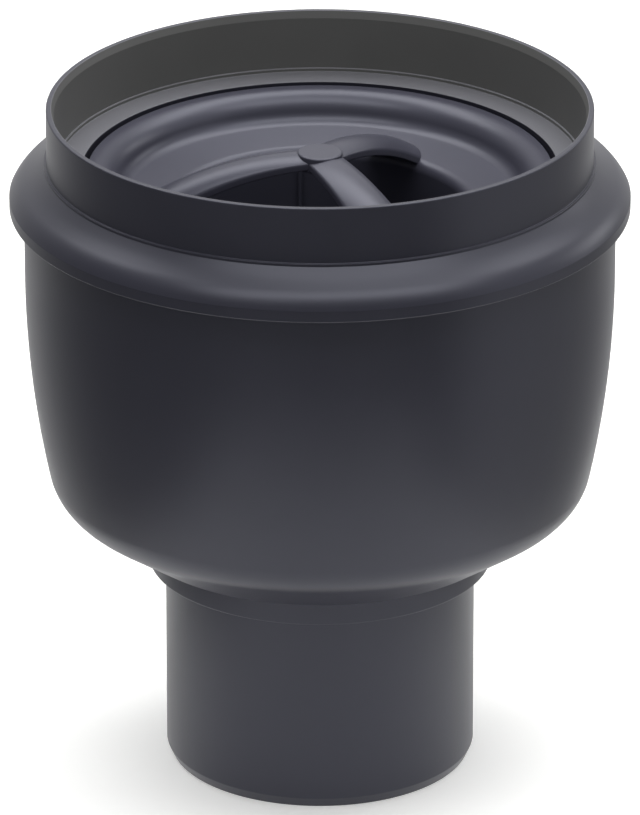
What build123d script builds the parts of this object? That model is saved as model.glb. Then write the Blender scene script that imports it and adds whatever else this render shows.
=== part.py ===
"""Floor drain body with a lift-out odour trap.

A moulded bowl with a vertical outlet spigot carries a welded collar ring. The trap rests on a shoulder
inside the ring: a funnel with a three-armed grip, a cup that hangs under it, and a rubber lip ring.
All sizes are millimetres. The origin is the centre of the spigot's end face, and +Z is up.
"""

import os
from math import asin, cos, degrees, radians, sin

from build123d import *

# Outlet spigot, and the neck ring that stops a pipe socket
spigot_radius = 37.5
spigot_length = 50.5
spigot_wall = 2.8
spigot_lead_depth = 1.2
spigot_lead_height = 2.6
neck_step = 4.1
neck_height = 7.5
neck_round = 3.0

# Bowl
bowl_wall = 2.5
bowl_straight = 20.1
bowl_curve_rise = 16.9
bowl_curve_radius = 250.0
bowl_corner_radius = 11.0
bowl_corner_end_angle = 60.0
underside_land = 5.0
sump_rise = 0.8

# Collar ring: collar, ledge, flange and the weld to the bowl
collar_radius = 65.45
collar_height = 13.7
collar_wall = 2.3
collar_draft = 0.4
mouth_lead_depth = 0.6
mouth_lead_height = 1.8
ledge_drop = 1.7
ledge_fall = 0.5
ledge_width = 5.7
foot_ring_width = 0.45
foot_ring_height = 0.8
root_step = 0.65
shoulder_step = 5.45
flange_overhang = 3.5
flange_drop = 8.5
flange_edge_height = 2.9
waist_drop = 4.5
waist_slope = 33.0
ring_wall = 2.3
weld_depth = 3.6
weld_gap = 0.1
tongue_length = 1.4

# Seat that the trap rests in
seat_wall = 2.2
seat_depth = 11.7
seat_width = 2.8
seat_thickness = 2.4

# Trap funnel: skirt, dish, throat and dip tube
skirt_gap = 1.2
skirt_wall = 3.2
dish_sink = 0.4
dish_land = 1.2
dish_width = 19.2
dish_wall = 2.0
lip_round = 6.0
lip_angle = 72.0
dish_round = 4.0
dish_turn = 60.0
throat_round = 3.0
throat_length = 15.0
dip_step = 1.5
dip_wall = 1.9
dip_taper_height = 10.0

# Grip: three arched arms and a round hub
hub_radius = 5.4
hub_depth = 11.6
hub_thickness = 4.0
hub_proud = 0.2
arm_count = 3
arm_azimuth = 60.0
arm_root_reach = 10.6
arm_root_rise = 1.44
arm_width = 9.0
arm_root_width = 14.7
arm_crown = 1.05
arm_root_crown = 4.0
arm_edge = 1.7

# Slim ribs inside the throat
rib_azimuth = 98.0
rib_width = 1.0
rib_depth = 1.2

# Cup, and the bayonet that carries it
water_seal = 50.0
cup_lift_clearance = 1.9
cup_taper = 6.3
cup_wall = 1.8
cup_floor_gap = 7.5
cup_clearance = 11.8
cup_corner_radius = 7.0
bayonet_azimuth = 28.0
lug_rise = 3.0
lug_thickness = 3.0
lug_gap = 3.91
lug_width = 13.0
lug_clearance = 3.0
hook_overlap = 4.0
hook_thickness = 3.0
hook_width = 12.0

# Seal ring in the groove of the skirt
groove_depth = 1.2
groove_width = 4.8
groove_rise = 3.2
seal_play = 0.05
seal_clearance = 0.28
seal_lip_thickness = 0.6
seal_notch_depth = 2.6

edge_round = 0.4
crisp_round = 0.2

# Radii that follow, from the spigot outwards and from the collar inwards
bore_radius = spigot_radius - spigot_wall
neck_radius = spigot_radius + neck_step
sump_radius = neck_radius - bowl_wall
underside_radius = neck_radius + underside_land
bowl_radius = collar_radius + shoulder_step
bowl_inner_radius = bowl_radius - bowl_wall
flange_radius = bowl_radius + flange_overhang
root_radius = collar_radius + root_step
collar_bore = collar_radius - collar_wall
mouth_radius = collar_bore + collar_draft
foot_ring_radius = collar_bore - foot_ring_width
seat_radius = foot_ring_radius - ledge_width
seat_outer_radius = seat_radius + seat_wall
seat_inner_radius = seat_radius - seat_width
lip_inner_radius = bowl_radius + weld_gap
tongue_radius = bowl_inner_radius - weld_gap
tongue_inner_radius = tongue_radius - ring_wall
skirt_radius = seat_radius - skirt_gap
skirt_inner_radius = skirt_radius - skirt_wall
dish_start_radius = skirt_radius - dish_land
throat_radius = dish_start_radius - dish_width
throat_outer_radius = throat_radius + dish_wall
dip_radius = throat_radius - dip_step
dip_outer_radius = dip_radius + dip_wall
arm_root_radius = throat_radius + arm_root_reach
cup_radius = seat_inner_radius - cup_lift_clearance
cup_inner_radius = cup_radius - cup_wall
cup_foot_radius = cup_radius - cup_taper
lug_radius = cup_inner_radius - lug_clearance
hook_radius = lug_radius - hook_overlap
groove_radius = skirt_radius - groove_depth
seal_inner_radius = groove_radius + seal_play
seal_lip_radius = seat_radius - seal_clearance

# The dish's profile: a rounded lip, a bend, a straight slope and a rounded brow into the throat
dish_slope = lip_angle - dish_turn
dish_slope_run = (
    dish_width
    - lip_round * sin(radians(lip_angle))
    - dish_round * (sin(radians(lip_angle)) - sin(radians(dish_slope)))
    - throat_round * (1 - sin(radians(dish_slope)))
)
dish_slope_length = dish_slope_run / cos(radians(dish_slope))
dish_drop = (
    lip_round * (1 - cos(radians(lip_angle)))
    + dish_round * (cos(radians(dish_slope)) - cos(radians(lip_angle)))
    + dish_slope_length * sin(radians(dish_slope))
    + throat_round * cos(radians(dish_slope))
)

# Heights that follow, from the spigot's end up to the collar's rim
neck_top = spigot_length + neck_height
sump_height = neck_top + sump_rise
cup_bottom = sump_height + cup_clearance
cup_floor = cup_bottom + cup_wall
dip_end = cup_floor + cup_floor_gap
cup_rim = dip_end + water_seal
lug_base = cup_rim + lug_rise
lug_top = lug_base + lug_thickness
hook_top = lug_top + hook_thickness
dish_foot = lug_top + lug_gap
dish_height = dish_foot + dish_drop
ledge_inner_height = dish_height + dish_sink
ledge_height = ledge_inner_height + ledge_fall
collar_base = ledge_height + ledge_drop
overall_height = collar_base + collar_height

# Heights that follow from those
throat_foot = dish_foot - throat_length
dip_top = throat_foot - dip_taper_height
seat_height = ledge_inner_height - seat_depth
seat_foot = seat_height - seat_thickness
ledge_underside = ledge_inner_height - ring_wall
flange_top = collar_base - flange_drop
flange_underside = flange_top - flange_edge_height
tongue_foot = flange_underside - tongue_length
bowl_top = flange_underside + weld_depth
bowl_curve_top = bowl_top - bowl_straight
bowl_curve_foot = neck_top + bowl_curve_rise
hub_top = overall_height - hub_depth
arm_top = hub_top - hub_proud
groove_base = seat_height + groove_rise
groove_top = groove_base + groove_width
seal_base = groove_base + seal_play
seal_top = groove_top - seal_play
notch_height = seal_top - seal_notch_depth

bowl_curve_angle = degrees(asin((bowl_curve_top - bowl_curve_foot) / bowl_curve_radius))

# Each arm arches from the hub down to its root in the dish
arm_arch_drop = arm_top - (dish_foot + arm_root_rise)
arm_arch_radius = (arm_root_radius**2 + arm_arch_drop**2) / (2 * arm_arch_drop)
arm_reach_angle = degrees(asin(arm_root_radius / arm_arch_radius))


def corner_near(section, radius, height):
    """The corner of a section nearest to a radius and a height."""
    return section.vertices().sort_by_distance((radius, height))[0]


def bowl_side(inset):
    """Draw the bowl's curved side and bottom corner, inset from the outer face, and return both arcs."""
    top = (bowl_radius - inset, bowl_curve_top)
    side = JernArc(top, (0, -1), bowl_curve_radius - inset, -bowl_curve_angle)
    turn = bowl_corner_end_angle - bowl_curve_angle
    corner = JernArc(side @ 1, side % 1, bowl_corner_radius - inset, -turn)
    return side, corner


def dish_side(inset):
    """Draw the dish from its land to the throat, inset below the wet face, and return its end arcs."""
    lip = JernArc((dish_start_radius, dish_height - inset), (-1, 0), lip_round - inset, lip_angle)
    bend = JernArc(lip @ 1, lip % 1, dish_round + inset, -dish_turn)
    slope = Line(bend @ 1, bend @ 1 + (bend % 1) * dish_slope_length)
    throat = JernArc(slope @ 1, slope % 1, throat_round - inset, 90 - dish_slope)
    return lip, throat


def arm_profile(width, crown):
    """A grip arm's section: flat below, crowned above."""
    side = width / 2
    foot = crown + arm_edge
    with BuildSketch(mode=Mode.PRIVATE) as profile:
        with BuildLine():
            ThreePointArc((-side, -crown), (0, 0), (side, -crown))
            Polyline((side, -crown), (side, -foot), (-side, -foot), (-side, -crown))
        make_face()
    return profile.sketch


# Bowl with its sloping underside, neck ring and spigot, moulded in one
with BuildPart() as outlet_bowl:
    with BuildSketch(Plane.XZ) as bowl_section:
        with BuildLine():
            outer_side, outer_corner = bowl_side(0)
            inner_side, inner_corner = bowl_side(bowl_wall)
            Polyline(
                inner_side @ 0,
                (bowl_inner_radius, bowl_top),
                (bowl_radius, bowl_top),
                outer_side @ 0,
            )
            Polyline(
                outer_corner @ 1,
                (underside_radius, neck_top),
                (neck_radius, neck_top),
                (neck_radius, spigot_length),
                (spigot_radius, spigot_length),
                (spigot_radius, spigot_lead_height),
                (spigot_radius - spigot_lead_depth, 0),
                (bore_radius, 0),
                (bore_radius, spigot_length),
                (sump_radius, sump_height),
                inner_corner @ 1,
            )
        make_face()
        fillet(corner_near(bowl_section, sump_radius, sump_height), neck_round)
        fillet(corner_near(bowl_section, bore_radius, spigot_length), neck_round)
        fillet(corner_near(bowl_section, underside_radius, neck_top), edge_round)
        fillet(corner_near(bowl_section, neck_radius, spigot_length), edge_round)
    revolve(axis=Axis.Z)

# Collar ring: upstanding collar, ogee flange, ledge and the seat for the trap, moulded in one
waist = (bowl_radius, collar_base - waist_drop)
waist_along = (cos(radians(waist_slope)), -sin(radians(waist_slope)))
waist_back = (-waist_along[0], -waist_along[1])
with BuildPart() as collar_ring:
    with BuildSketch(Plane.XZ) as ring_section:
        with BuildLine():
            flange_crown = TangentArc(waist, (flange_radius, flange_top), tangent=waist_along)
            flange_hollow = TangentArc(waist, (root_radius, collar_base - root_step), tangent=waist_back)
            Polyline(
                flange_crown @ 1,
                (flange_radius, flange_underside),
                (lip_inner_radius, flange_underside),
                (lip_inner_radius, bowl_top),
                (tongue_radius, bowl_top),
                (tongue_radius, tongue_foot),
                (tongue_inner_radius, tongue_foot),
                (tongue_inner_radius, ledge_underside),
                (seat_outer_radius, ledge_underside),
                (seat_outer_radius, seat_foot),
                (seat_inner_radius, seat_foot),
                (seat_inner_radius, seat_height),
                (seat_radius, seat_height),
                (seat_radius, ledge_inner_height),
                (foot_ring_radius, ledge_height),
                (foot_ring_radius, ledge_height + foot_ring_height),
                (collar_bore, ledge_height + foot_ring_height),
                (mouth_radius, overall_height - mouth_lead_height),
                (mouth_radius + mouth_lead_depth, overall_height),
                (collar_radius, overall_height),
                (collar_radius, collar_base),
                (root_radius, collar_base),
                flange_hollow @ 1,
            )
        make_face()
        fillet(corner_near(ring_section, collar_radius, overall_height), edge_round)
        fillet(corner_near(ring_section, flange_radius, flange_top), edge_round)
        fillet(corner_near(ring_section, flange_radius, flange_underside), edge_round)
        fillet(corner_near(ring_section, seat_radius, ledge_inner_height), crisp_round)
        fillet(corner_near(ring_section, tongue_inner_radius, ledge_underside), edge_round)
        fillet(corner_near(ring_section, seat_outer_radius, ledge_underside), edge_round)
    revolve(axis=Axis.Z)

# One arched arm of the grip, running out along +X and growing wider and rounder towards its root
with BuildPart() as grip_arm:
    with BuildLine(Plane.XZ) as arm_path:
        CenterArc((0, arm_top - arm_arch_radius), arm_arch_radius, 90, -arm_reach_angle)
    with BuildSketch(Plane(arm_path.line @ 0, x_dir=(0, 1, 0), z_dir=arm_path.line % 0)):
        add(arm_profile(arm_width, arm_crown))
    with BuildSketch(Plane(arm_path.line @ 1, x_dir=(0, 1, 0), z_dir=arm_path.line % 1)):
        add(arm_profile(arm_root_width, arm_root_crown))
    sweep(multisection=True)

# Grip: the arms joined under the hub, trimmed to end inside the dish wall
with BuildPart() as grip:
    with BuildSketch(Plane.XY.offset(hub_top)):
        Circle(hub_radius)
    extrude(amount=-hub_thickness)
    fillet(grip.edges().group_by(Axis.Z)[-1], edge_round)
    with PolarLocations(0, arm_count, start_angle=arm_azimuth):
        add(grip_arm.part)
    with BuildSketch(Plane.XZ):
        with BuildLine():
            reach_lip, reach_throat = dish_side(dish_wall / 2)
            Polyline(
                reach_lip @ 0,
                (dish_start_radius, overall_height),
                (0, overall_height),
                (0, throat_foot),
                (throat_radius + dish_wall / 2, throat_foot),
                reach_throat @ 1,
            )
        make_face()
    revolve(axis=Axis.Z, mode=Mode.INTERSECT)

# Trap funnel: skirt, dish, throat, dip tube and grip, moulded in one
with BuildPart() as trap_funnel:
    with BuildSketch(Plane.XZ) as funnel_section:
        with BuildLine():
            wet_lip, wet_throat = dish_side(0)
            dry_lip, dry_throat = dish_side(dish_wall)
            Polyline(
                wet_lip @ 0,
                (skirt_radius, dish_height),
                (skirt_radius, dish_height - dish_wall),
                dry_lip @ 0,
            )
            Polyline(
                dry_throat @ 1,
                (throat_outer_radius, throat_foot),
                (dip_outer_radius, dip_top),
                (dip_outer_radius, dip_end),
                (dip_radius, dip_end),
                (dip_radius, dip_top),
                (throat_radius, throat_foot),
                wet_throat @ 1,
            )
        make_face()
        with Locations((skirt_inner_radius, seat_height)):
            Rectangle(skirt_wall, dish_height - dish_wall / 2 - seat_height, align=Align.MIN)
        with Locations((groove_radius, groove_base)):
            Rectangle(groove_depth, groove_width, align=Align.MIN, mode=Mode.SUBTRACT)
        fillet(corner_near(funnel_section, skirt_radius, dish_height), crisp_round)
    revolve(axis=Axis.Z)
    add(grip.part)
    with BuildSketch(Plane.XY.offset(throat_foot)):
        with PolarLocations(throat_radius, arm_count, start_angle=rib_azimuth):
            Rectangle(2 * rib_depth, rib_width)
        Circle(throat_radius + dish_wall / 2, mode=Mode.INTERSECT)
    extrude(amount=throat_length)
    with BuildSketch(Plane.XY.offset(lug_base)):
        with PolarLocations(throat_outer_radius, arm_count, start_angle=bayonet_azimuth):
            Rectangle(3 * (lug_radius - throat_outer_radius), lug_width)
        Circle(lug_radius, mode=Mode.INTERSECT)
        Circle(throat_outer_radius - dish_wall / 2, mode=Mode.SUBTRACT)
    extrude(amount=lug_thickness)

# Cup that holds the water seal, with three hooks over the funnel's lugs
with BuildPart() as trap_cup:
    with BuildSketch(Plane.XZ) as cup_section:
        with BuildLine():
            Polyline(
                (0, cup_bottom),
                (cup_foot_radius, cup_bottom),
                (cup_radius, cup_rim),
                (cup_inner_radius, cup_rim),
                (cup_foot_radius - cup_wall, cup_floor),
                (0, cup_floor),
                close=True,
            )
        make_face()
        fillet(corner_near(cup_section, cup_foot_radius, cup_bottom), cup_corner_radius)
        fillet(corner_near(cup_section, cup_foot_radius - cup_wall, cup_floor), cup_corner_radius - cup_wall)
    revolve(axis=Axis.Z)
    with BuildSketch(Plane.XY.offset(cup_rim)):
        with PolarLocations(cup_radius, arm_count, start_angle=bayonet_azimuth):
            Rectangle(4 * cup_wall, hook_width)
        Circle(cup_radius, mode=Mode.INTERSECT)
        Circle(cup_inner_radius, mode=Mode.SUBTRACT)
    extrude(amount=hook_top - cup_rim)
    with BuildSketch(Plane.XY.offset(lug_top)):
        with PolarLocations(cup_inner_radius, arm_count, start_angle=bayonet_azimuth):
            Rectangle(3 * (cup_inner_radius - hook_radius), hook_width)
        Circle(cup_radius, mode=Mode.INTERSECT)
        Circle(hook_radius, mode=Mode.SUBTRACT)
    extrude(amount=hook_thickness)

# Rubber lip ring in the skirt's groove
with BuildPart() as seat_seal:
    with BuildSketch(Plane.XZ):
        with BuildLine():
            Polyline(
                (seal_inner_radius, seal_base),
                (skirt_radius, seal_base),
                (seal_lip_radius, notch_height),
                (seal_lip_radius, seal_top),
                (seal_lip_radius - seal_lip_thickness, seal_top),
                (skirt_radius, notch_height),
                (skirt_radius - seal_lip_thickness, notch_height),
                (skirt_radius - seal_lip_thickness, seal_top),
                (seal_inner_radius, seal_top),
                close=True,
            )
        make_face()
    revolve(axis=Axis.Z)

outlet_bowl.part.label = "outlet_bowl"
collar_ring.part.label = "collar_ring"
trap_funnel.part.label = "trap_funnel"
trap_cup.part.label = "trap_cup"
seat_seal.part.label = "seat_seal"

os.makedirs("parts", exist_ok=True)
export_step(outlet_bowl.part, "parts/outlet_bowl.step")
export_step(collar_ring.part, "parts/collar_ring.step")
export_step(trap_funnel.part, "parts/trap_funnel.step")
export_step(trap_cup.part, "parts/trap_cup.step")
export_step(seat_seal.part, "parts/seat_seal.step")
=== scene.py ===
"""A moulded floor drain with a welded collar ring and a lift-out odour trap, in a plain studio.

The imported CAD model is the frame. The pieces in plain view are drawn again as fine turned meshes on the
same sizes, and the ones inside the drain are carried over and dressed. Sizes are millimetres, and metres
only where Blender is given them.
"""

import logging
import math
from dataclasses import dataclass, field
from enum import Enum
from typing import Any, Callable, Iterable, Sequence

import bmesh
import bpy
from mathutils import Matrix, Vector


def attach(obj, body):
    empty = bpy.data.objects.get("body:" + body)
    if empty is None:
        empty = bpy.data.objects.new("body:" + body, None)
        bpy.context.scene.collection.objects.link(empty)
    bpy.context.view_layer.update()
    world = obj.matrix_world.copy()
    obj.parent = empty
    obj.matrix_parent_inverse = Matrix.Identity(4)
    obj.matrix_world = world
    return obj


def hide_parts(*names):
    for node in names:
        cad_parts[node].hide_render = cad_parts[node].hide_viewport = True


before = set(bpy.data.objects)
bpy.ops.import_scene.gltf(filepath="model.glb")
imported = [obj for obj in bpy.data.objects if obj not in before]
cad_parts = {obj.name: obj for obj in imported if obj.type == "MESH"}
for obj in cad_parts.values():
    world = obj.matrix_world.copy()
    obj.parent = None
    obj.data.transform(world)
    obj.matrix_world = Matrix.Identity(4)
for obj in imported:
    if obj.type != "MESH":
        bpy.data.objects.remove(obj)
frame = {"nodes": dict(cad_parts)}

LOG = logging.getLogger("floor_drain")
MM = 0.001


def linear(colour: str) -> tuple[float, float, float, float]:
    """Turn an sRGB hex colour into Blender's linear one.

    Args:
        colour: Six hex digits after a hash mark.

    Returns:
        Red, green, blue and an alpha of 1.
    """
    shares = [int(colour[at : at + 2], 16) / 255 for at in (1, 3, 5)]
    red, green, blue = (s / 12.92 if s <= 0.04045 else ((s + 0.055) / 1.055) ** 2.4 for s in shares)
    return red, green, blue, 1.0


def add_node(
    tree: bpy.types.NodeTree,
    kind: str,
    settings: dict[str, Any] | None = None,
    inputs: dict[str | int, Any] | None = None,
) -> bpy.types.Node:
    """Add a node with its settings, and give each input a value or a link.

    Args:
        tree: The node tree that gets the node.
        kind: The node's Blender type name.
        settings: The node's own properties.
        inputs: Values by input name or number, where an output socket makes a link.

    Returns:
        The new node.
    """
    node = tree.nodes.new(kind)
    for name, value in (settings or {}).items():
        setattr(node, name, value)
    for name, value in (inputs or {}).items():
        if isinstance(value, bpy.types.NodeSocket):
            tree.links.new(value, node.inputs[name])
        else:
            node.inputs[name].default_value = value
    return node


def noise(
    tree: bpy.types.NodeTree,
    size_mm: float,
    detail: float = 2.0,
    distortion: float = 0.0,
) -> bpy.types.NodeSocket:
    """Add noise of a real size that stays fixed to the object.

    Args:
        tree: The material's node tree.
        size_mm: How large its patches are.
        detail: How many finer layers it has.
        distortion: How far its patches are folded.

    Returns:
        The noise's socket, from 0 to 1.
    """
    place = add_node(tree, "ShaderNodeTexCoord").outputs["Object"]
    return add_node(
        tree,
        "ShaderNodeTexNoise",
        inputs={"Vector": place, "Scale": 1 / (size_mm * MM), "Detail": detail, "Distortion": distortion},
    ).outputs["Fac"]


def mixed_colour(
    tree: bpy.types.NodeTree,
    share: bpy.types.NodeSocket,
    first: str,
    second: str,
) -> bpy.types.NodeSocket:
    """Mix two sRGB hex colours.

    Args:
        tree: The material's node tree.
        share: How much of the second colour there is, from 0 to 1.
        first: The first colour.
        second: The second colour.

    Returns:
        The mixed colour's socket.
    """
    return add_node(
        tree,
        "ShaderNodeMix",
        {"data_type": "RGBA"},
        {0: share, 6: linear(first), 7: linear(second)},
    ).outputs[2]


def relief(
    tree: bpy.types.NodeTree,
    height: bpy.types.NodeSocket,
    depth_mm: float,
    strength: float = 1.0,
) -> bpy.types.NodeSocket:
    """Raise a pattern as a bump of a real depth.

    Args:
        tree: The material's node tree.
        height: The pattern, from 0 to 1.
        depth_mm: How deep the pattern is.
        strength: How much of the bump is used.

    Returns:
        The bumped normal's socket.
    """
    return add_node(
        tree,
        "ShaderNodeBump",
        inputs={"Height": height, "Distance": depth_mm * MM, "Strength": strength},
    ).outputs["Normal"]


class MouldTexture(Enum):
    """How the mould's steel was finished, as the roughness that it leaves on the plastic."""

    TOOL_POLISHED = 0.36
    STONED = 0.37
    SPARK_ERODED = 0.56


@dataclass(frozen=True)
class MouldedPolypropylene:
    """Anthracite polypropylene, injection moulded: a satin skin with faint flow clouds and a fine grain."""

    name: str
    colour: str = "#26262F"
    cloud_colour: str = "#2C2C36"
    sheen_tint: str = "#EEF0FF"
    texture: MouldTexture = MouldTexture.STONED
    specular: float = 0.5
    index: float = 1.49
    cloud_mm: float = 28.0
    grain_mm: float = 0.9
    grain_depth_mm: float = 0.012
    grain_strength: float = 0.6
    roughness_swing: float = 0.06

    def build(self) -> bpy.types.Material:
        """Build the material.

        Returns:
            The material, with its pattern scales worked out from the real sizes.
        """
        material = bpy.data.materials.new(self.name)
        material.use_nodes = True
        tree = material.node_tree
        tree.nodes.clear()
        # Pigment and skin vary a little where the melt folded as it filled the mould
        clouds = noise(tree, self.cloud_mm, detail=3.0, distortion=0.4)
        roughness = add_node(
            tree,
            "ShaderNodeMapRange",
            inputs={
                "Value": clouds,
                "To Min": self.texture.value - self.roughness_swing / 2,
                "To Max": self.texture.value + self.roughness_swing / 2,
            },
        ).outputs["Result"]
        # The mould's grain is about 0.05 mm, drawn coarser so that it shows at all
        grain = noise(tree, self.grain_mm)
        skin = add_node(
            tree,
            "ShaderNodeBsdfPrincipled",
            inputs={
                "Base Color": mixed_colour(tree, clouds, self.colour, self.cloud_colour),
                "Roughness": roughness,
                "IOR": self.index,
                "Specular IOR Level": self.specular,
                "Specular Tint": linear(self.sheen_tint),
                "Normal": relief(tree, grain, self.grain_depth_mm, self.grain_strength),
            },
        )
        add_node(tree, "ShaderNodeOutputMaterial", inputs={"Surface": skin.outputs["BSDF"]})
        return material


@dataclass(frozen=True)
class MouldedRubber:
    """Black EPDM rubber, compression moulded: matt, with a faint grey bloom in patches."""

    name: str = "moulded_epdm_rubber"
    colour: str = "#1B1B1C"
    bloom_colour: str = "#2A2A2B"
    roughness: float = 0.62
    index: float = 1.52
    bloom_mm: float = 6.0
    pore_mm: float = 0.5
    pore_depth_mm: float = 0.02

    def build(self) -> bpy.types.Material:
        """Build the material.

        Returns:
            The material, with its pattern scales worked out from the real sizes.
        """
        material = bpy.data.materials.new(self.name)
        material.use_nodes = True
        tree = material.node_tree
        tree.nodes.clear()
        bloom = noise(tree, self.bloom_mm, detail=4.0)
        pores = noise(tree, self.pore_mm)
        skin = add_node(
            tree,
            "ShaderNodeBsdfPrincipled",
            inputs={
                "Base Color": mixed_colour(tree, bloom, self.colour, self.bloom_colour),
                "Roughness": self.roughness,
                "IOR": self.index,
                "Normal": relief(tree, pores, self.pore_depth_mm),
            },
        )
        add_node(tree, "ShaderNodeOutputMaterial", inputs={"Surface": skin.outputs["BSDF"]})
        return material


@dataclass(frozen=True)
class Corner:
    """A corner of a turned outline: its radius from the axis, its height, and how far it is rounded."""

    radius: float
    height: float
    rounding: float = 0.0

    @property
    def place(self) -> Vector:
        """The corner as a point of the section.

        Returns:
            Its radius and its height.
        """
        return Vector((self.radius, self.height))


@dataclass(frozen=True)
class Outline:
    """A closed or open outline of rounded corners, turned about the drain's axis.

    A rounding has a point every arc_step degrees, or every arc_chord millimetres where that is finer. A
    corner that turns by less than the straight angle, in radians, isn't rounded.
    """

    corners: tuple[Corner, ...]
    closed: bool = True
    arc_step: float = 5.0
    arc_chord: float = 4.0
    straight: float = 1e-4

    def arc(self, before: Vector, corner: Corner, after: Vector) -> list[Vector]:
        """Round one corner.

        Args:
            before: The corner that the outline comes from.
            corner: The corner itself.
            after: The corner that it goes on to.

        Returns:
            The points of the rounding, or the corner's own point where it is sharp.
        """
        here = corner.place
        back = (before - here).normalized()
        onward = (after - here).normalized()
        turn = math.pi - back.angle(onward)
        if corner.rounding <= 0 or turn < self.straight:
            return [here]
        reach = corner.rounding * math.tan(turn / 2)
        centre = here + (back + onward).normalized() * corner.rounding / math.cos(turn / 2)
        start = here + back * reach - centre
        side = 1 if back.x * onward.y - back.y * onward.x < 0 else -1
        by_angle = math.ceil(math.degrees(turn) / self.arc_step)
        by_length = math.ceil(turn * corner.rounding / self.arc_chord)
        count = max(2, by_angle, by_length)
        steps = (side * turn * step / count for step in range(count + 1))
        return [centre + Matrix.Rotation(angle, 2) @ start for angle in steps]

    def points(self) -> list[Vector]:
        """The outline's points in order, with its corners rounded.

        Returns:
            The points, in millimetres.
        """
        found: list[Vector] = []
        last = len(self.corners) - 1
        for at, corner in enumerate(self.corners):
            if not self.closed and at in (0, last):
                found.append(corner.place)
                continue
            before = self.corners[at - 1].place
            after = self.corners[(at + 1) % len(self.corners)].place
            found.extend(self.arc(before, corner, after))
        return found


@dataclass(frozen=True)
class Lathe:
    """Turns outlines about the Z axis into meshes."""

    segments: int = 288
    on_axis: float = 1e-6

    def turn(self, mesh: bmesh.types.BMesh, outline: Outline) -> None:
        """Add an outline's turned surface to a mesh.

        Args:
            mesh: The mesh that gets the surface.
            outline: The outline, in millimetres.
        """
        rings: list[list[bmesh.types.BMVert]] = []
        for point in outline.points():
            if point.x < self.on_axis:
                rings.append([mesh.verts.new((0, 0, point.y * MM))])
                continue
            angles = (math.tau * step / self.segments for step in range(self.segments))
            rings.append(
                [
                    mesh.verts.new((point.x * MM * math.cos(a), point.x * MM * math.sin(a), point.y * MM))
                    for a in angles
                ]
            )
        pairs = list(zip(rings, rings[1:]))
        if outline.closed:
            pairs.append((rings[-1], rings[0]))
        for lower, upper in pairs:
            for at in range(self.segments):
                after = (at + 1) % self.segments
                below = [lower[step % len(lower)] for step in (at, after)]
                above = [upper[step % len(upper)] for step in (after, at)]
                corners = list(dict.fromkeys(below + above))
                if len(corners) > 2:
                    mesh.faces.new(corners)


def shown(
    name: str,
    mesh: bmesh.types.BMesh,
    material: bpy.types.Material,
    sharp: float = 35.0,
) -> bpy.types.Object:
    """Make an object of a mesh, smooth but for its sharp edges.

    Args:
        name: The object's name.
        mesh: The mesh, in metres, which is freed here.
        material: Its one material.
        sharp: The angle in degrees past which an edge stays sharp.

    Returns:
        The new object, linked to the scene.
    """
    bmesh.ops.recalc_face_normals(mesh, faces=mesh.faces)
    data = bpy.data.meshes.new(name)
    mesh.to_mesh(data)
    mesh.free()
    data.shade_smooth()
    data.set_sharp_from_angle(angle=math.radians(sharp))
    data.materials.append(material)
    piece = bpy.data.objects.new(name, data)
    bpy.context.scene.collection.objects.link(piece)
    weighted = piece.modifiers.new("weighted_normals", "WEIGHTED_NORMAL")
    weighted.keep_sharp = True
    return piece


def dress(node: bpy.types.Object, material: bpy.types.Material, sharp: float = 30.0) -> None:
    """Give a carried-over CAD node its material, and smooth it between its sharp edges.

    Args:
        node: The node's object.
        material: Its one material.
        sharp: The angle in degrees past which an edge stays sharp.
    """
    node.data.materials.clear()
    node.data.materials.append(material)
    node.data.shade_smooth()
    weld = node.modifiers.new("weld", "WELD")
    weld.merge_threshold = 0.001 * MM
    split = node.modifiers.new("sharp_edges", "EDGE_SPLIT")
    split.split_angle = math.radians(sharp)


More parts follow.
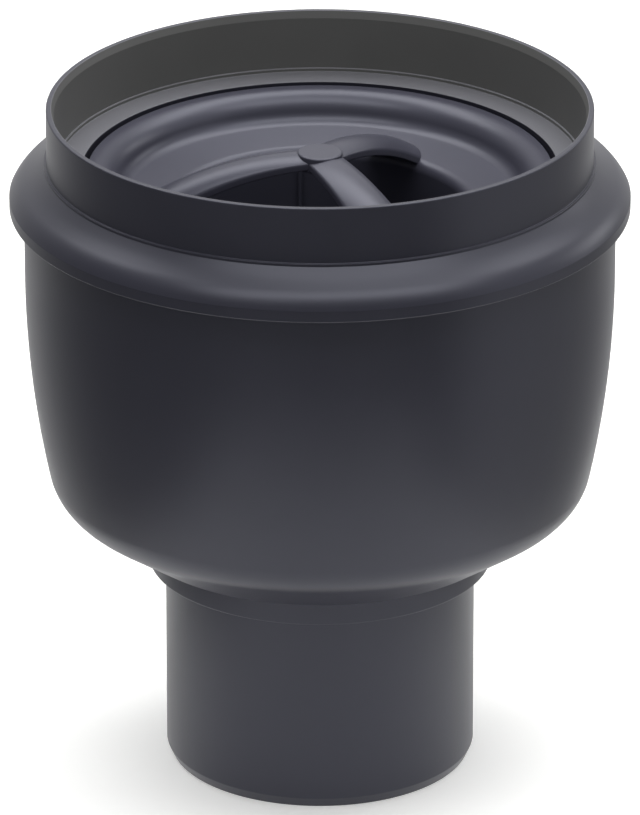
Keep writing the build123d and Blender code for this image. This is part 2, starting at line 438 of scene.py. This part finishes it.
@dataclass
class OutletBowl:
    """The bowl with its sloping underside, neck ring and outlet spigot."""

    finish: bpy.types.Material
    node: str = "outlet_bowl"
    slot: str = "body_plastic"
    body: str = "drain_body"
    spigot_radius: float = 37.5
    spigot_length: float = 50.5
    spigot_wall: float = 2.8
    spigot_lead_depth: float = 1.2
    spigot_lead_height: float = 2.6
    neck_radius: float = 41.6
    neck_height: float = 7.5
    bowl_radius: float = 70.9
    bowl_wall: float = 2.5
    bowl_top: float = 146.098
    curve_top: float = 125.998
    curve_foot: float = 74.9
    curve_radius: float = 250.0
    corner_radius: float = 11.0
    corner_end_angle: float = 60.0
    underside_radius: float = 46.6
    sump_rise: float = 0.8
    sump_round: float = 3.0
    edge_round: float = 0.4
    lead_round: float = 1.0
    end_round: float = 0.3

    def side(self, inset: float) -> list[Corner]:
        """The bowl's curved side and its bottom corner.

        Args:
            inset: How far inside the outer face the side runs.

        Returns:
            Two rounded corners, from the top down.
        """
        lean = math.asin((self.curve_top - self.curve_foot) / self.curve_radius)
        turn = math.radians(self.corner_end_angle) - lean
        curve = self.curve_radius - inset
        bend = self.corner_radius - inset
        upper = Vector((self.bowl_radius - inset, self.curve_top - curve * math.tan(lean / 2)))
        down = Vector((-math.sin(lean), -math.cos(lean)))
        lower = upper + down * (curve * math.tan(lean / 2) + bend * math.tan(turn / 2))
        return [Corner(*upper, curve), Corner(*lower, bend)]

    def outline(self) -> Outline:
        """The bowl's section, from the rim down the outside and up the inside.

        Returns:
            The closed outline.
        """
        neck_top = self.spigot_length + self.neck_height
        bore = self.spigot_radius - self.spigot_wall
        inner = self.bowl_radius - self.bowl_wall
        return Outline(
            (
                Corner(self.bowl_radius, self.bowl_top),
                *self.side(0),
                Corner(self.underside_radius, neck_top, self.edge_round),
                Corner(self.neck_radius, neck_top, self.edge_round),
                Corner(self.neck_radius, self.spigot_length, self.edge_round),
                Corner(self.spigot_radius, self.spigot_length, self.edge_round),
                Corner(self.spigot_radius, self.spigot_lead_height, self.lead_round),
                Corner(self.spigot_radius - self.spigot_lead_depth, 0, self.end_round),
                Corner(bore, 0, self.end_round),
                Corner(bore, self.spigot_length, self.sump_round),
                Corner(self.neck_radius - self.bowl_wall, neck_top + self.sump_rise, self.sump_round),
                *reversed(self.side(self.bowl_wall)),
                Corner(inner, self.bowl_top),
            )
        )

    def build(self) -> bpy.types.Object:
        """Build the bowl in the frame's place.

        Returns:
            The bowl, riding on the drain's fixed body.
        """
        mesh = bmesh.new()
        Lathe().turn(mesh, self.outline())
        piece = shown("bowl_skin", mesh, self.finish)
        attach(piece, self.body)
        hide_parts(self.node)
        LOG.info("bowl, neck ring and spigot: %d faces", len(piece.data.polygons))
        return piece


@dataclass
class CollarRing:
    """The welded ring: upstanding collar, ogee flange, ledge and the seat for the trap."""

    finish: bpy.types.Material
    # Paler copies of the body's plastic: painted light for the lit inside of the collar
    painted_light_bore_finish: bpy.types.Material
    painted_light_ledge_finish: bpy.types.Material
    node: str = "collar_ring"
    slot: str = "body_plastic"
    body: str = "drain_body"
    overall_height: float = 167.598
    collar_radius: float = 65.45
    collar_height: float = 13.7
    collar_wall: float = 2.3
    collar_draft: float = 0.4
    mouth_lead_depth: float = 0.6
    mouth_lead_height: float = 1.8
    ledge_depth: float = 15.4
    ledge_fall: float = 0.5
    foot_ring_width: float = 0.45
    foot_ring_height: float = 0.8
    root_step: float = 0.65
    flange_radius: float = 74.4
    flange_drop: float = 8.5
    flange_edge_height: float = 2.9
    waist_radius: float = 70.9
    waist_drop: float = 4.5
    waist_slope: float = 33.0
    ring_wall: float = 2.3
    weld_depth: float = 3.6
    lip_radius: float = 71.0
    tongue_radius: float = 68.3
    tongue_length: float = 1.4
    seat_radius: float = 57.0
    seat_wall: float = 2.2
    seat_depth: float = 11.7
    shoulder_width: float = 2.8
    shoulder_thickness: float = 2.4
    edge_round: float = 0.4
    mouth_round: float = 0.3
    crisp_round: float = 0.2
    fine_round: float = 0.15
    ledge_margin: float = 0.1
    upright_below: float = 0.5

    def tangent_corner(self, end: Vector, towards: int) -> Corner:
        """The rounded corner that stands for the ogee's arc on one side of the flange's waist.

        Args:
            end: The arc's far end.
            towards: 1 for the crown outside the waist, -1 for the hollow inside it.

        Returns:
            The corner where the arc's end tangents meet, rounded by the arc's radius.
        """
        waist = Vector((self.waist_radius, self.overall_height - self.collar_height - self.waist_drop))
        slope = math.radians(self.waist_slope)
        along = Vector((math.cos(slope), -math.sin(slope))) * towards
        chord = end - waist
        bend = along.angle(chord)
        reach = chord.length / 2 / math.cos(bend)
        return Corner(*(waist + along * reach), reach / math.tan(bend))

    def outline(self) -> Outline:
        """The ring's section, from the collar's outer foot by the flange and the seat to its mouth.

        Returns:
            The closed outline.
        """
        base = self.overall_height - self.collar_height
        ledge = self.overall_height - self.ledge_depth
        ledge_inner = ledge - self.ledge_fall
        under = ledge_inner - self.ring_wall
        flange_top = base - self.flange_drop
        flange_foot = flange_top - self.flange_edge_height
        bore = self.collar_radius - self.collar_wall
        mouth = bore + self.collar_draft
        foot = bore - self.foot_ring_width
        root = self.collar_radius + self.root_step
        tongue_inner = self.tongue_radius - self.ring_wall
        tongue_foot = flange_foot - self.tongue_length
        seat = ledge_inner - self.seat_depth
        seat_foot = seat - self.shoulder_thickness
        seat_outer = self.seat_radius + self.seat_wall
        shoulder = self.seat_radius - self.shoulder_width
        crown_end = Vector((self.flange_radius, flange_top))
        hollow_end = Vector((root, base - self.root_step))
        return Outline(
            (
                Corner(self.collar_radius, base, self.crisp_round),
                Corner(root, base, self.fine_round),
                Corner(*hollow_end),
                self.tangent_corner(hollow_end, -1),
                self.tangent_corner(crown_end, 1),
                Corner(*crown_end, self.edge_round),
                Corner(self.flange_radius, flange_foot, self.edge_round),
                Corner(self.lip_radius, flange_foot),
                Corner(self.lip_radius, flange_foot + self.weld_depth),
                Corner(self.tongue_radius, flange_foot + self.weld_depth),
                Corner(self.tongue_radius, tongue_foot, self.crisp_round),
                Corner(tongue_inner, tongue_foot, self.crisp_round),
                Corner(tongue_inner, under, self.edge_round),
                Corner(seat_outer, under, self.edge_round),
                Corner(seat_outer, seat_foot, self.crisp_round),
                Corner(shoulder, seat_foot, self.crisp_round),
                Corner(shoulder, seat, self.crisp_round),
                Corner(self.seat_radius, seat, self.crisp_round),
                Corner(self.seat_radius, ledge_inner, self.crisp_round),
                Corner(foot, ledge, self.crisp_round),
                Corner(foot, ledge + self.foot_ring_height, self.fine_round),
                Corner(bore, ledge + self.foot_ring_height, self.fine_round),
                Corner(mouth, self.overall_height - self.mouth_lead_height, self.mouth_round),
                Corner(mouth + self.mouth_lead_depth, self.overall_height, self.fine_round),
                Corner(self.collar_radius, self.overall_height, self.edge_round),
            )
        )

    def paint_light_inside(self, piece: bpy.types.Object) -> None:
        """Give the upright and the flat faces inside the collar paler copies of the plastic, as painted
        light where the inside is lit, with a duller skin.

        A face is upright where its normal's share along Z is small.

        Args:
            piece: The ring, which has its outer finish already.
        """
        piece.data.materials.append(self.painted_light_bore_finish)
        piece.data.materials.append(self.painted_light_ledge_finish)
        bore = (self.collar_radius - self.collar_wall / 2) * MM
        ledge = (self.overall_height - self.ledge_depth - self.ledge_fall - self.ledge_margin) * MM
        # Faces inside the collar take the painted-light copies: upright ones the bore's, flat ones the
        # ledge's
        for face in piece.data.polygons:
            if math.hypot(*face.center[:2]) < bore and face.center.z > ledge:
                face.material_index = 1 if abs(face.normal.z) < self.upright_below else 2

    def build(self) -> bpy.types.Object:
        """Build the ring in the frame's place.

        Returns:
            The ring, riding on the drain's fixed body.
        """
        mesh = bmesh.new()
        Lathe().turn(mesh, self.outline())
        piece = shown("collar_ring_skin", mesh, self.finish)
        self.paint_light_inside(piece)
        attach(piece, self.body)
        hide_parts(self.node)
        LOG.info("collar ring: %d faces", len(piece.data.polygons))
        return piece


def loft(mesh: bmesh.types.BMesh, rings: Sequence[Sequence[Vector]], turn: Matrix) -> None:
    """Add a closed tube through rings of as many points each, with a cap at both ends.

    Args:
        mesh: The mesh that gets the tube.
        rings: The rings' points in millimetres, in the same order round each ring.
        turn: The turn that brings the points to their place.
    """
    rows = [[mesh.verts.new(turn @ point * MM) for point in ring] for ring in rings]
    for lower, upper in zip(rows, rows[1:]):
        for at in range(len(lower)):
            after = (at + 1) % len(lower)
            mesh.faces.new((lower[at], lower[after], upper[after], upper[at]))
    mesh.faces.new(reversed(rows[0]))
    mesh.faces.new(rows[-1])


def curve_between(start: Vector, corner: Vector, end: Vector, steps: int) -> list[Vector]:
    """Round a corner by a parabola.

    Args:
        start: Where the rounding starts.
        corner: The corner that it rounds.
        end: Where the rounding ends.
        steps: How many stretches the rounding has.

    Returns:
        The points after the start, up to and with the end.
    """
    shares = (step / steps for step in range(1, steps + 1))
    return [start * (1 - t) ** 2 + corner * 2 * t * (1 - t) + end * t**2 for t in shares]


@dataclass(frozen=True)
class Dish:
    """The funnel's dish: a rounded lip, a bend, a straight slope and a rounded brow into the throat."""

    start_radius: float = 54.6
    height: float = 151.298
    wall: float = 2.0
    lip_round: float = 6.0
    lip_angle: float = 72.0
    bend_round: float = 4.0
    bend_turn: float = 60.0
    slope_length: float = 8.3268
    throat_round: float = 3.0

    def face(self, inset: float) -> list[Corner]:
        """The dish's face as rounded corners, from the lip down to the throat.

        Args:
            inset: How far under the wet face it runs.

        Returns:
            The corners of the lip, the bend and the brow.
        """
        bends = (
            (self.lip_angle, self.lip_round - inset, 0.0),
            (-self.bend_turn, self.bend_round + inset, 0.0),
            (90 - self.lip_angle + self.bend_turn, self.throat_round - inset, self.slope_length),
        )
        place = Vector((self.start_radius, self.height - inset))
        heading = 180.0
        corners = []
        for turn, rounding, lead in bends:
            reach = rounding * math.tan(math.radians(abs(turn)) / 2)
            place += self.along(heading) * (lead + reach)
            corners.append(Corner(*place, rounding))
            heading += turn
            place += self.along(heading) * reach
        return corners

    @staticmethod
    def along(heading: float) -> Vector:
        """The section's direction at a heading.

        Args:
            heading: Degrees anticlockwise from straight out.

        Returns:
            A unit vector in the section.
        """
        return Vector((math.cos(math.radians(heading)), math.sin(math.radians(heading))))


@dataclass(frozen=True)
class GripArm:
    """One arched arm of the grip: flat below, crowned above, wider and rounder towards its root."""

    apex: float
    arch_radius: float = 80.0
    root_radius: float = 46.0
    width: float = 9.0
    root_width: float = 14.7
    crown: float = 1.05
    root_crown: float = 4.0
    edge: float = 1.7
    edge_round: float = 0.45
    foot_round: float = 0.3
    stations: int = 56
    crown_steps: int = 9
    edge_steps: int = 4
    foot_steps: int = 3
    halvings: int = 24

    def section(self, share: float) -> list[Vector]:
        """The arm's section at one place along it.

        Args:
            share: How far along the arm, from 0 on the axis to 1 at the root.

        Returns:
            Points across the arm and up from its crest, once round the section.
        """
        half = (self.width + (self.root_width - self.width) * share) / 2
        crown = self.crown + (self.root_crown - self.crown) * share
        foot = crown + self.edge
        bow = (half**2 + crown**2) / (2 * crown)
        steps = range(self.crown_steps + 1)
        across = ((half - self.edge_round) * step / self.crown_steps for step in steps)
        right = [Vector((x, math.sqrt(bow**2 - x**2) - bow)) for x in across]
        rounded = Vector((half, -crown - self.edge_round))
        right += curve_between(right[-1], Vector((half, -crown)), rounded, self.edge_steps)
        side = Vector((half, -foot + self.foot_round))
        under = Vector((half - self.foot_round, -foot))
        right += [side, *curve_between(side, Vector((half, -foot)), under, self.foot_steps)]
        return right + [Vector((-point.x, point.y)) for point in reversed(right[1:])]

    def place(self, angle: float, point: Vector) -> Vector:
        """The place of a section's point, along +X from the drain's axis.

        Args:
            angle: The angle along the arch from its apex, in radians.
            point: The point across the arm and up from its crest.

        Returns:
            The point in millimetres.
        """
        reach = self.arch_radius + point.y
        height = self.apex - self.arch_radius + reach * math.cos(angle)
        return Vector((reach * math.sin(angle), point.x, height))

    def rings(self, radius_at: Callable[[float], float]) -> list[list[Vector]]:
        """The arm's rings from the axis to the wall that it ends in.

        Args:
            radius_at: The wall's radius at a height.

        Returns:
            One ring of points for each station.
        """
        root = math.asin(self.root_radius / self.arch_radius)
        lines = []
        for at in range(len(self.section(0))):
            low, high = 0.0, root
            for _ in range(self.halvings):
                middle = (low + high) / 2
                point = self.place(middle, self.section(middle / root)[at])
                inside = math.hypot(point.x, point.y) < radius_at(point.z)
                low, high = (middle, high) if inside else (low, middle)
            angles = [low * station / self.stations for station in range(self.stations + 1)]
            lines.append([self.place(angle, self.section(angle / root)[at]) for angle in angles])
        return [list(ring) for ring in zip(*lines)]


@dataclass
class TrapFunnel:
    """The funnel: skirt with the seal's groove, dish, throat, dip tube, arched grip and bayonet lugs."""

    finish: bpy.types.Material
    dish: Dish = Dish()
    node: str = "trap_funnel"
    slot: str = "trap_plastic"
    body: str = "trap_insert"
    skirt_radius: float = 55.8
    skirt_wall: float = 3.2
    seat_height: float = 139.998
    groove_depth: float = 1.2
    groove_base: float = 143.198
    groove_top: float = 147.998
    throat_radius: float = 35.4
    throat_foot: float = 124.81
    throat_length: float = 15.0
    dip_radius: float = 33.9
    dip_wall: float = 1.9
    dip_top: float = 114.81
    dip_end: float = 79.9
    hub_radius: float = 5.4
    hub_top: float = 155.998
    hub_thickness: float = 4.0
    hub_proud: float = 0.2
    hub_round: float = 0.5
    arm_azimuths: tuple[float, ...] = (60.0, 180.0, 300.0)
    rib_azimuths: tuple[float, ...] = (98.0, 218.0, 338.0)
    rib_width: float = 1.0
    rib_depth: float = 1.2
    lug_azimuths: tuple[float, ...] = (28.0, 148.0, 268.0)
    lug_base: float = 132.9
    lug_thickness: float = 3.0
    lug_width: float = 13.0
    lug_radius: float = 47.5
    lug_steps: int = 4
    tube_round: float = 2.0
    end_round: float = 0.3
    crisp_round: float = 0.2
    groove_round: float = 0.15

    def shell(self) -> Outline:
        """The section of the skirt, the dish, the throat and the dip tube.

        Returns:
            The closed outline.
        """
        throat_outer = self.throat_radius + self.dish.wall
        dip_outer = self.dip_radius + self.dip_wall
        skirt_inner = self.skirt_radius - self.skirt_wall
        groove = self.skirt_radius - self.groove_depth
        dry_face = Outline(
            (
                Corner(throat_outer, self.throat_foot),
                *reversed(self.dish.face(self.dish.wall)),
                Corner(self.dish.start_radius, self.dish.height - self.dish.wall),
            ),
            closed=False,
        )
        dry = [point for point in dry_face.points() if point.x < skirt_inner]
        arc_height = self.dish.height - self.dish.lip_round
        arc_rise = math.sqrt(
            (self.dish.lip_round - self.dish.wall) ** 2 - (self.dish.start_radius - skirt_inner) ** 2
        )
        return Outline(
            (
                Corner(self.skirt_radius, self.dish.height, self.crisp_round),
                *self.dish.face(0),
                Corner(self.throat_radius, self.throat_foot, self.tube_round),
                Corner(self.dip_radius, self.dip_top, self.tube_round),
                Corner(self.dip_radius, self.dip_end, self.end_round),
                Corner(dip_outer, self.dip_end, self.end_round),
                Corner(dip_outer, self.dip_top, self.tube_round),
                *(Corner(*point) for point in dry),
                Corner(skirt_inner, arc_height + arc_rise),
                Corner(skirt_inner, self.seat_height, self.end_round),
                Corner(self.skirt_radius, self.seat_height, self.end_round),
                Corner(self.skirt_radius, self.groove_base, self.groove_round),
                Corner(groove, self.groove_base),
                Corner(groove, self.groove_top),
                Corner(self.skirt_radius, self.groove_top, self.groove_round),
            )
        )

    def wall_radius(self, height: float) -> float:
        """The radius of the middle of the dish's wall.

        Args:
            height: The height to look at.

        Returns:
            The radius there, or the throat's below the dish and the lip's above it.
        """
        top = Corner(self.dish.start_radius, self.dish.height - self.dish.wall / 2)
        foot = Corner(self.throat_radius + self.dish.wall / 2, self.throat_foot)
        face = Outline((top, *self.dish.face(self.dish.wall / 2), foot), closed=False)
        points = face.points()
        for upper, lower in zip(points, points[1:]):
            if lower.y <= height < upper.y:
                share = (height - lower.y) / (upper.y - lower.y)
                return lower.x + (upper.x - lower.x) * share
        return points[0].x if height >= points[0].y else points[-1].x

    def rib(self) -> list[list[Vector]]:
        """Draw a slim rib in the throat, along +X.

        Returns:
            The rib's foot and top, as rings of points.
        """
        half = self.rib_width / 2
        front = self.throat_radius - self.rib_depth
        back = self.throat_radius + self.dish.wall / 2
        bevel = half / 2
        side = ((back, half), (front + bevel, half), (front, bevel))
        flat = [*side, *((x, -y) for x, y in reversed(side))]
        heights = (self.throat_foot, self.throat_foot + self.throat_length)
        return [[Vector((x, y, height)) for x, y in flat] for height in heights]

    def lug(self) -> list[list[Vector]]:
        """Draw a bayonet lug under the dish, along +X.

        Returns:
            The lug's foot and top, as rings of points.
        """
        half = self.lug_width / 2
        back = self.throat_radius + self.dish.wall / 2
        edge = [half * step / self.lug_steps for step in range(-self.lug_steps, self.lug_steps + 1)]
        flat = [(math.sqrt(self.lug_radius**2 - y**2), y) for y in edge]
        flat += [(back, half), (back, -half)]
        heights = (self.lug_base, self.lug_base + self.lug_thickness)
        return [[Vector((x, y, height)) for x, y in flat] for height in heights]

    def build(self) -> bpy.types.Object:
        """Build the funnel in the frame's place.

        Returns:
            The funnel, riding on the lift-out trap.
        """
        mesh = bmesh.new()
        lathe = Lathe()
        lathe.turn(mesh, self.shell())
        foot = self.hub_top - self.hub_thickness
        hub = Outline(
            (
                Corner(0, self.hub_top),
                Corner(self.hub_radius, self.hub_top, self.hub_round),
                Corner(self.hub_radius, foot, self.hub_round),
                Corner(0, foot),
            ),
            closed=False,
        )
        lathe.turn(mesh, hub)
        arm = GripArm(self.hub_top - self.hub_proud)
        pieces = (
            (arm.rings(self.wall_radius), self.arm_azimuths),
            (self.rib(), self.rib_azimuths),
            (self.lug(), self.lug_azimuths),
        )
        for rings, azimuths in pieces:
            for azimuth in azimuths:
                loft(mesh, rings, Matrix.Rotation(math.radians(azimuth), 3, "Z"))
        piece = shown("trap_funnel_skin", mesh, self.finish)
        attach(piece, self.body)
        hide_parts(self.node)
        LOG.info("funnel with its grip: %d faces", len(piece.data.polygons))
        return piece


@dataclass
class TrapFittings:
    """The cup and the lip seal, whose CAD nodes are carried over and dressed."""

    cup_finish: bpy.types.Material
    seal_finish: bpy.types.Material

    def dress_nodes(self, nodes: dict[str, bpy.types.Object]) -> None:
        """Dress the cup and the seal.

        Args:
            nodes: The frame's nodes by name.
        """
        for name, finish in (("trap_cup", self.cup_finish), ("seat_seal", self.seal_finish)):
            dress(nodes[name], finish)
            LOG.info("%s dressed", name)


@dataclass(frozen=True)
class Softbox:
    """A square studio lamp aimed at the drain."""

    name: str
    azimuth: float
    elevation: float
    distance: float
    width: float
    height: float
    radiance: float

    def build(self, target: Vector) -> bpy.types.Object:
        """Hang the lamp.

        Args:
            target: The point that it faces, in metres.

        Returns:
            The lamp's object.
        """
        lamp = bpy.data.lights.new(self.name, "AREA")
        lamp.shape = "RECTANGLE"
        lamp.size = self.width
        lamp.size_y = self.height
        lamp.energy = self.radiance * self.width * self.height * math.pi
        a = math.radians(self.azimuth)
        e = math.radians(self.elevation)
        back = Vector((math.sin(a) * math.cos(e), -math.cos(a) * math.cos(e), math.sin(e)))
        holder = bpy.data.objects.new(self.name, lamp)
        holder.location = target + back * self.distance
        holder.rotation_euler = back.to_track_quat("Z", "Y").to_euler()
        bpy.context.scene.collection.objects.link(holder)
        return holder


@dataclass
class Studio:
    """A pale table top, white walls, a dim room on the camera's side and the lamps."""

    target: Vector = field(default_factory=lambda: Vector((0.0, 0.0, 0.09)))
    floor_front: float = 0.25
    floor_back: float = 6.0
    floor_half_width: float = 0.13
    floor_colour: str = "#F4F4F2"
    floor_roughness: float = 0.9
    floor_specular: float = 0.2
    floor_lift: float = 0.3
    # Metres back from the drain's axis, and how much the floor glows there in a reflection
    floor_glow: tuple[tuple[float, float], ...] = (
        (-0.25, 0.0),
        (-0.19, 0.1),
        (-0.13, 0.6),
        (-0.02, 0.6),
        (0.04, 0.0),
    )
    ambient: float = 0.38
    # Degrees round from the camera's side to the right, and how bright the room is there
    room_levels: tuple[tuple[float, float], ...] = (
        (-180.0, 1.0),
        (-150.0, 0.8),
        (-125.0, 0.42),
        (-118.0, 0.36),
        (-106.0, 0.25),
        (52.0, 0.25),
        (62.0, 0.95),
        (90.0, 0.7),
        (115.0, 0.42),
        (135.0, 0.42),
        (155.0, 0.8),
        (180.0, 1.0),
    )
    # Azimuth and elevation in degrees, then distance, width and height in metres, then radiance
    softboxes: Sequence[Softbox] = (
        Softbox("overhead_back", 180.0, 66.0, 1.0, 1.6, 0.5, 4.4),
        Softbox("overhead_front", 8.0, 72.0, 1.0, 1.2, 0.4, 4.1),
        Softbox("right_rear", 120.0, 20.0, 1.2, 0.5, 0.3, 3.2),
    )

    def build_floor(self) -> bpy.types.Object:
        """Lay the table top under the spigot.

        Returns:
            The floor.
        """
        mesh = bmesh.new()
        side = self.floor_half_width
        front, back = -self.floor_front, self.floor_back
        outline = ((-side, front), (side, front), (side, back), (-side, back))
        mesh.faces.new([mesh.verts.new((x, y, 0)) for x, y in outline])
        data = bpy.data.meshes.new("floor")
        mesh.to_mesh(data)
        mesh.free()
        data.materials.append(self.floor_material())
        floor = bpy.data.objects.new("floor", data)
        bpy.context.scene.collection.objects.link(floor)
        return floor

    @staticmethod
    def levels(
        tree: bpy.types.NodeTree,
        value: bpy.types.NodeSocket,
        stops: Sequence[tuple[float, float]],
    ) -> bpy.types.NodeSocket:
        """Turn a value into a level through a row of stops.

        Args:
            tree: The node tree.
            value: The value to look up.
            stops: Values and their levels, in rising order.

        Returns:
            The level's socket.
        """
        low, high = stops[0][0], stops[-1][0]
        share = add_node(
            tree,
            "ShaderNodeMapRange",
            inputs={"Value": value, "From Min": low, "From Max": high},
        ).outputs["Result"]
        ramp = add_node(tree, "ShaderNodeValToRGB", inputs={"Fac": share})
        elements = ramp.color_ramp.elements
        for place, level in stops[1:-1]:
            elements.new((place - low) / (high - low)).color = (level, level, level, 1.0)
        for element, (_, level) in ((elements[0], stops[0]), (elements[-1], stops[-1])):
            element.color = (level, level, level, 1.0)
        return ramp.outputs["Color"]

    @staticmethod
    def mirrored(tree: bpy.types.NodeTree) -> bpy.types.NodeSocket:
        """Tell the rays that see a surface in a mirror or through glass.

        Args:
            tree: The node tree that asks.

        Returns:
            A socket that is 1 for a glossy or transmission ray.
        """
        rays = add_node(tree, "ShaderNodeLightPath").outputs
        return add_node(
            tree,
            "ShaderNodeMath",
            {"operation": "MAXIMUM"},
            {0: rays["Is Glossy Ray"], 1: rays["Is Transmission Ray"]},
        ).outputs["Value"]

    def floor_material(self) -> bpy.types.Material:
        """Paint the floor: matt, lifted to white where it is seen, and dim far in front in reflections.

        Returns:
            The floor's material.
        """
        material = bpy.data.materials.new("matt_white_paint")
        material.use_nodes = True
        tree = material.node_tree
        skin = tree.nodes["Principled BSDF"]
        skin.inputs["Base Color"].default_value = linear(self.floor_colour)
        skin.inputs["Roughness"].default_value = self.floor_roughness
        skin.inputs["Specular IOR Level"].default_value = self.floor_specular
        skin.inputs["Emission Color"].default_value = linear("#FFFFFF")
        place = add_node(tree, "ShaderNodeTexCoord").outputs["Object"]
        forward = add_node(tree, "ShaderNodeSeparateXYZ", inputs={0: place}).outputs["Y"]
        glow = add_node(
            tree,
            "ShaderNodeMath",
            {"operation": "MULTIPLY"},
            {0: self.mirrored(tree), 1: self.levels(tree, forward, self.floor_glow)},
        ).outputs["Value"]
        camera_ray = add_node(tree, "ShaderNodeLightPath").outputs["Is Camera Ray"]
        lift = add_node(
            tree,
            "ShaderNodeMath",
            {"operation": "MULTIPLY_ADD"},
            {0: camera_ray, 1: self.floor_lift, 2: glow},
        ).outputs["Value"]
        tree.links.new(lift, skin.inputs["Emission Strength"])
        return material

    def room(self, tree: bpy.types.NodeTree) -> bpy.types.NodeSocket:
        """How bright the room is in each direction, as a glossy surface sees it.

        Args:
            tree: The world's node tree.

        Returns:
            A socket that is 1 for the white walls, and less at the sides and round the camera.
        """
        direction = add_node(tree, "ShaderNodeTexCoord").outputs["Generated"]
        axes = add_node(tree, "ShaderNodeSeparateXYZ", inputs={0: direction}).outputs
        front = add_node(tree, "ShaderNodeMath", {"operation": "MULTIPLY"}, {0: axes["Y"], 1: -1.0})
        azimuth = add_node(
            tree,
            "ShaderNodeMath",
            {"operation": "ARCTAN2"},
            {0: axes["X"], 1: front.outputs["Value"]},
        ).outputs["Value"]
        degrees = add_node(tree, "ShaderNodeMath", {"operation": "DEGREES"}, {0: azimuth})
        return self.levels(tree, degrees.outputs["Value"], self.room_levels)

    def build_surroundings(self) -> None:
        """Make the world: white where it is seen, a weak even light, and the room in reflections."""
        world = bpy.data.worlds.new("studio_walls")
        world.use_nodes = True
        tree = world.node_tree
        tree.nodes.clear()
        reflected = add_node(
            tree,
            "ShaderNodeMix",
            {"data_type": "FLOAT"},
            {0: self.mirrored(tree), 2: self.ambient, 3: self.room(tree)},
        ).outputs[0]
        camera_ray = add_node(tree, "ShaderNodeLightPath").outputs["Is Camera Ray"]
        strength = add_node(
            tree,
            "ShaderNodeMix",
            {"data_type": "FLOAT"},
            {0: camera_ray, 2: reflected, 3: 1.0},
        ).outputs[0]
        walls = add_node(
            tree,
            "ShaderNodeBackground",
            inputs={"Color": linear("#FFFFFF"), "Strength": strength},
        )
        add_node(tree, "ShaderNodeOutputWorld", inputs={"Surface": walls.outputs["Background"]})
        bpy.context.scene.world = world

    def build(self) -> None:
        """Build the whole studio."""
        self.build_floor()
        self.build_surroundings()
        for softbox in self.softboxes:
            softbox.build(self.target)


@dataclass(frozen=True)
class PhotographCamera:
    """The photograph's viewpoint: a long lens looking down on the drain."""

    elevation: float = 23.2
    distance: float = 2316.0
    aim_height: float = 89.39
    lens: float = 423.2
    sensor_width: float = 36.0
    nearest: float = 0.05
    farthest: float = 50.0

    def build(self) -> bpy.types.Object:
        """Place the camera.

        Returns:
            The camera's object, which is also the scene's camera.
        """
        camera = bpy.data.cameras.new("photograph_camera")
        camera.lens = self.lens
        camera.sensor_width = self.sensor_width
        camera.clip_start = self.nearest
        camera.clip_end = self.farthest
        e = math.radians(self.elevation)
        back = Vector((0.0, -math.cos(e), math.sin(e)))
        holder = bpy.data.objects.new("photograph_camera", camera)
        holder.location = Vector((0, 0, self.aim_height * MM)) + back * self.distance * MM
        holder.rotation_euler = back.to_track_quat("Z", "Y").to_euler()
        bpy.context.scene.collection.objects.link(holder)
        bpy.context.scene.camera = holder
        return holder


def main() -> None:
    """Build the drain's pieces in order, then the studio and the camera."""
    logging.basicConfig(level=logging.INFO, format="%(name)s: %(message)s")
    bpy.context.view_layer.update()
    body_plastic = MouldedPolypropylene("moulded_polypropylene_body").build()
    trap_plastic = MouldedPolypropylene(
        "moulded_polypropylene_trap",
        colour="#34343E",
        cloud_colour="#3C3C47",
        texture=MouldTexture.TOOL_POLISHED,
    ).build()
    rubber = MouldedRubber().build()
    # Paler copies of the body's plastic for the collar's inside: painted light, with a rougher skin
    painted_light_bore_plastic = MouldedPolypropylene(
        "polypropylene_bore_painted_light",
        colour="#545452",
        cloud_colour="#5C5C5A",
        texture=MouldTexture.SPARK_ERODED,
    ).build()
    painted_light_ledge_plastic = MouldedPolypropylene(
        "polypropylene_ledge_painted_light",
        colour="#5C5C60",
        cloud_colour="#646468",
        texture=MouldTexture.SPARK_ERODED,
    ).build()
    OutletBowl(body_plastic).build()
    CollarRing(body_plastic, painted_light_bore_plastic, painted_light_ledge_plastic).build()
    TrapFunnel(trap_plastic).build()
    TrapFittings(trap_plastic, rubber).dress_nodes(frame["nodes"])
    Studio().build()
    PhotographCamera().build()
    bpy.context.scene.view_settings.view_transform = "Standard"


if __name__ == "__main__":
    main()
